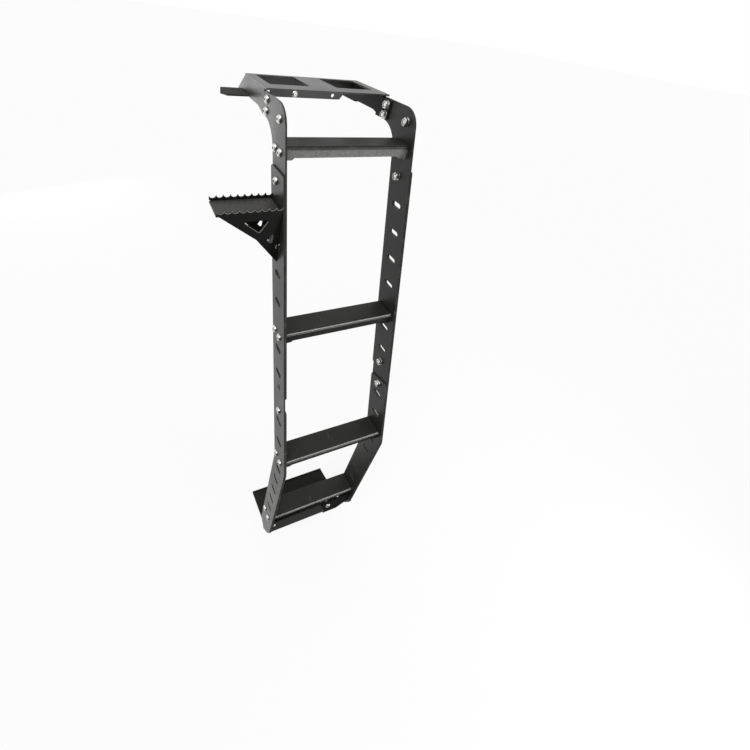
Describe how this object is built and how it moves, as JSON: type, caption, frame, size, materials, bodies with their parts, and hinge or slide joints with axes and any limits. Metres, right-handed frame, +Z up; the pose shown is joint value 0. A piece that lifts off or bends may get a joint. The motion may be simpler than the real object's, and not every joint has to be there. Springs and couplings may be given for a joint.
{
  "type": "vehicle tailgate ladder",
  "caption": "Bolt-on ladder for a vehicle's rear hatch: slotted flat rails with a bend, flat treads, a windowed top plate with side feet and a serrated side step.",
  "frame": {"origin": "middle of the underside of the bottom bracket's seat", "axes": "+X across the rungs to the right as a climber sees it, +Y towards the vehicle, +Z up as installed"},
  "size_m": [0.386, 0.483, 1.0979],
  "materials": {
    "rail_coat": "satin fine-texture black powder coat",
    "tread_coat": "satin black powder coat, slightly worn where feet stand",
    "bracket_coat": "satin black powder coat"
  },
  "bodies": {
    "root": {"upper_rail_left": "rail_coat", "outer_rail_left": "rail_coat", "inner_leg_left": "rail_coat", "corner_bracket_left": "bracket_coat", "top_cheek_left": "bracket_coat", "upper_rail_right": "rail_coat", "outer_rail_right": "rail_coat", "inner_leg_right": "rail_coat", "corner_bracket_right": "bracket_coat", "top_cheek_right": "bracket_coat", "rung_1": "rail_coat", "tread_1": "tread_coat", "rung_2": "rail_coat", "tread_2": "tread_coat", "rung_3": "rail_coat", "tread_3": "tread_coat", "rung_4": "rail_coat", "tread_4": "tread_coat", "top_plate": "bracket_coat", "bottom_bracket": "bracket_coat", "step_front_plate": "bracket_coat", "step_rear_plate": "bracket_coat", "step_floor": "tread_coat"}
  },
  "joints": []
}
